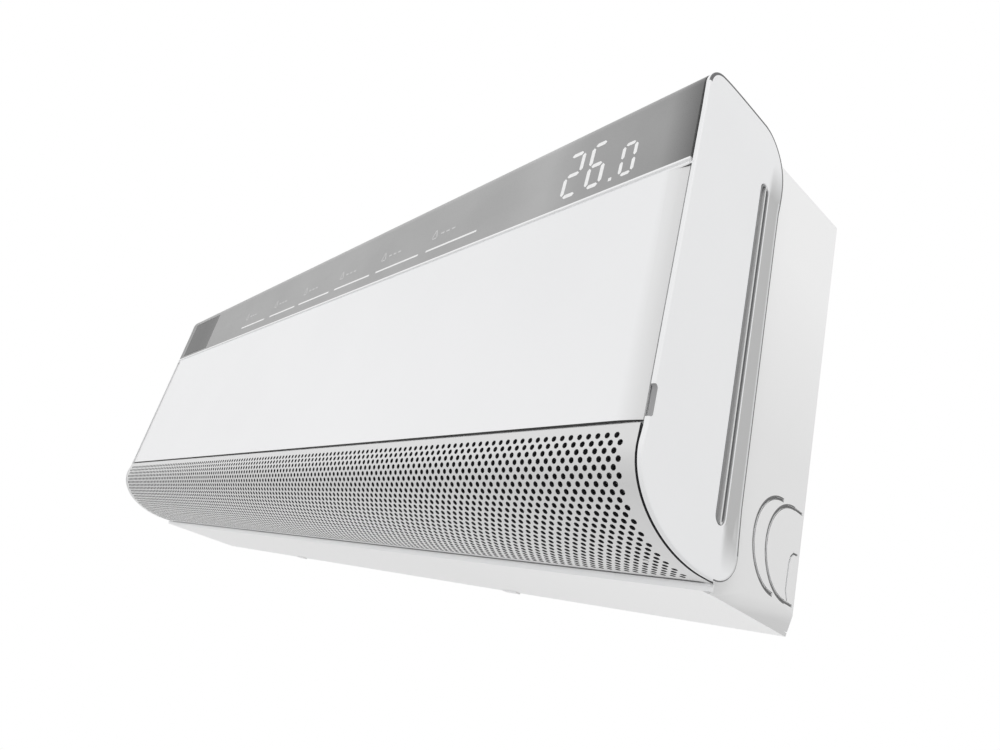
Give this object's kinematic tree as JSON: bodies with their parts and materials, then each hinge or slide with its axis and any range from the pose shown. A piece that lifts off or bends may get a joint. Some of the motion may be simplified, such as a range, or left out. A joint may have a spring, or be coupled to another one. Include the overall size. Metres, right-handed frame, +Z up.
{
  "type": "mini split indoor unit",
  "caption": "Wall-hung air conditioner indoor unit: flat lift-up front, perforated curved outlet flap, grey display band, side air slots and top filters over a cross-flow fan.",
  "frame": {"origin": "centre of the wall plate's back face, on the wall plane", "axes": "+X along the width to the unit's left-hand side as it looks into the room, +Y into the wall, +Z up"},
  "size_m": [0.968, 0.2052, 0.3332],
  "materials": {
    "shell_white": "fine satin moulding",
    "panel_white": "smooth semi-gloss moulding",
    "band_grey": "smooth tinted window strip",
    "sensor_black": "polished tinted lens",
    "grey_plastic": "matte moulding",
    "dark_plastic": "matte moulding",
    "steel": "zinc-plated sheet",
    "aluminium": "thin fin stock",
    "copper": "drawn copper tube",
    "brass": "turned",
    "rubber": "moulded",
    "board": "coated circuit board"
  },
  "bodies": {
    "housing": {"wall_plate": "steel", "chassis": "grey_plastic", "casing": "shell_white", "side_plate_right": "shell_white", "side_plate_left": "shell_white", "slot_guide_right": "grey_plastic", "slot_guide_left": "grey_plastic", "display_band": "band_grey", "sensor_window": "sensor_black", "band_trim": "panel_white", "display_board": "board", "flap_motor": "steel", "flap_bush": "dark_plastic", "fan_motor": "steel", "motor_clamp": "grey_plastic", "fan_bearing": "rubber", "drip_tray": "grey_plastic", "drain_spout": "grey_plastic", "drain_plug": "rubber", "inlet_grille": "shell_white", "coil_front_lower": "aluminium", "coil_front_upper": "aluminium", "coil_rear": "aluminium", "coil_end_left": "copper", "coil_end_right": "copper", "vane_rail_left": "grey_plastic", "vane_rail_right": "grey_plastic", "vane_motor_left": "steel", "vane_motor_right": "steel", "gas_pipe": "copper", "liquid_pipe": "copper", "gas_nut": "brass", "liquid_nut": "brass", "control_box": "shell_white", "control_cover": "steel", "main_board": "board", "terminal_block": "dark_plastic"},
    "fan": {"fan": "dark_plastic"},
    "flap": {"flap": "panel_white"},
    "panel": {"front_panel": "panel_white"},
    "filter_left": {"filter_left": "dark_plastic"},
    "filter_right": {"filter_right": "dark_plastic"},
    "link_left": {"vane_link_left": "grey_plastic"},
    "link_right": {"vane_link_right": "grey_plastic"},
    "button": {"service_button": "dark_plastic"},
    "vane_1": {"vane_1": "dark_plastic"},
    "vane_2": {"vane_2": "dark_plastic"},
    "vane_3": {"vane_3": "dark_plastic"},
    "vane_4": {"vane_4": "dark_plastic"},
    "vane_5": {"vane_5": "dark_plastic"},
    "vane_6": {"vane_6": "dark_plastic"},
    "vane_7": {"vane_7": "dark_plastic"},
    "vane_8": {"vane_8": "dark_plastic"},
    "vane_9": {"vane_9": "dark_plastic"},
    "vane_10": {"vane_10": "dark_plastic"}
  },
  "joints": [
    {"name": "fan_spin", "type": "hinge", "parent": "housing", "child": "fan", "pos_m": [0, -0.098, -0.047], "axis": [1, 0, 0], "continuous": true},
    {"name": "flap_tilt", "type": "hinge", "parent": "housing", "child": "flap", "pos_m": [0, -0.116, -0.149], "axis": [1, 0, 0], "range_deg": [0, 75]},
    {"name": "panel_lift", "type": "hinge", "parent": "housing", "child": "panel", "pos_m": [0, -0.20097, 0.0722], "axis": [-1, 0, 0], "range_deg": [0, 60]},
    {"name": "filter_left_lift", "type": "hinge", "parent": "housing", "child": "filter_left", "pos_m": [-0.23615, -0.02594, 0.16491], "axis": [-1, 0, 0], "range_deg": [0, 50]},
    {"name": "filter_right_lift", "type": "hinge", "parent": "housing", "child": "filter_right", "pos_m": [0.23615, -0.02594, 0.16491], "axis": [-1, 0, 0], "range_deg": [0, 50]},
    {"name": "vane_link_left_slide", "type": "slide", "parent": "housing", "child": "link_left", "axis": [1, 0, 0], "range_m": [-0.0052, 0.0052]},
    {"name": "vane_1_swing", "type": "hinge", "parent": "housing", "child": "vane_1", "pos_m": [-0.41025, -0.08347, -0.13538], "axis": [0, -0.7092, 0.705], "range_deg": [-30, 30]},
    {"name": "vane_2_swing", "type": "hinge", "parent": "housing", "child": "vane_2", "pos_m": [-0.33075, -0.08347, -0.13538], "axis": [0, -0.7092, 0.705], "range_deg": [-30, 30]},
    {"name": "vane_3_swing", "type": "hinge", "parent": "housing", "child": "vane_3", "pos_m": [-0.25125, -0.08347, -0.13538], "axis": [0, -0.7092, 0.705], "range_deg": [-30, 30]},
    {"name": "vane_4_swing", "type": "hinge", "parent": "housing", "child": "vane_4", "pos_m": [-0.17175, -0.08347, -0.13538], "axis": [0, -0.7092, 0.705], "range_deg": [-30, 30]},
    {"name": "vane_5_swing", "type": "hinge", "parent": "housing", "child": "vane_5", "pos_m": [-0.09225, -0.08347, -0.13538], "axis": [0, -0.7092, 0.705], "range_deg": [-30, 30]},
    {"name": "vane_link_right_slide", "type": "slide", "parent": "housing", "child": "link_right", "axis": [1, 0, 0], "range_m": [-0.0052, 0.0052]},
    {"name": "vane_6_swing", "type": "hinge", "parent": "housing", "child": "vane_6", "pos_m": [-0.01275, -0.08347, -0.13538], "axis": [0, -0.7092, 0.705], "range_deg": [-30, 30]},
    {"name": "vane_7_swing", "type": "hinge", "parent": "housing", "child": "vane_7", "pos_m": [0.06675, -0.08347, -0.13538], "axis": [0, -0.7092, 0.705], "range_deg": [-30, 30]},
    {"name": "vane_8_swing", "type": "hinge", "parent": "housing", "child": "vane_8", "pos_m": [0.14625, -0.08347, -0.13538], "axis": [0, -0.7092, 0.705], "range_deg": [-30, 30]},
    {"name": "vane_9_swing", "type": "hinge", "parent": "housing", "child": "vane_9", "pos_m": [0.22575, -0.08347, -0.13538], "axis": [0, -0.7092, 0.705], "range_deg": [-30, 30]},
    {"name": "vane_10_swing", "type": "hinge", "parent": "housing", "child": "vane_10", "pos_m": [0.30525, -0.08347, -0.13538], "axis": [0, -0.7092, 0.705], "range_deg": [-30, 30]},
    {"name": "service_button_press", "type": "slide", "parent": "housing", "child": "button", "axis": [0, 1, 0], "range_m": [0, 0.0012], "stiffness_N_per_m": 300, "springref_m": -0.001}
  ],
  "couplings": [
    {"joint": "vane_1_swing", "follows": "vane_link_left_slide", "rad_per_m": 100},
    {"joint": "vane_2_swing", "follows": "vane_link_left_slide", "rad_per_m": 100},
    {"joint": "vane_3_swing", "follows": "vane_link_left_slide", "rad_per_m": 100},
    {"joint": "vane_4_swing", "follows": "vane_link_left_slide", "rad_per_m": 100},
    {"joint": "vane_5_swing", "follows": "vane_link_left_slide", "rad_per_m": 100},
    {"joint": "vane_6_swing", "follows": "vane_link_right_slide", "rad_per_m": 100},
    {"joint": "vane_7_swing", "follows": "vane_link_right_slide", "rad_per_m": 100},
    {"joint": "vane_8_swing", "follows": "vane_link_right_slide", "rad_per_m": 100},
    {"joint": "vane_9_swing", "follows": "vane_link_right_slide", "rad_per_m": 100},
    {"joint": "vane_10_swing", "follows": "vane_link_right_slide", "rad_per_m": 100}
  ]
}
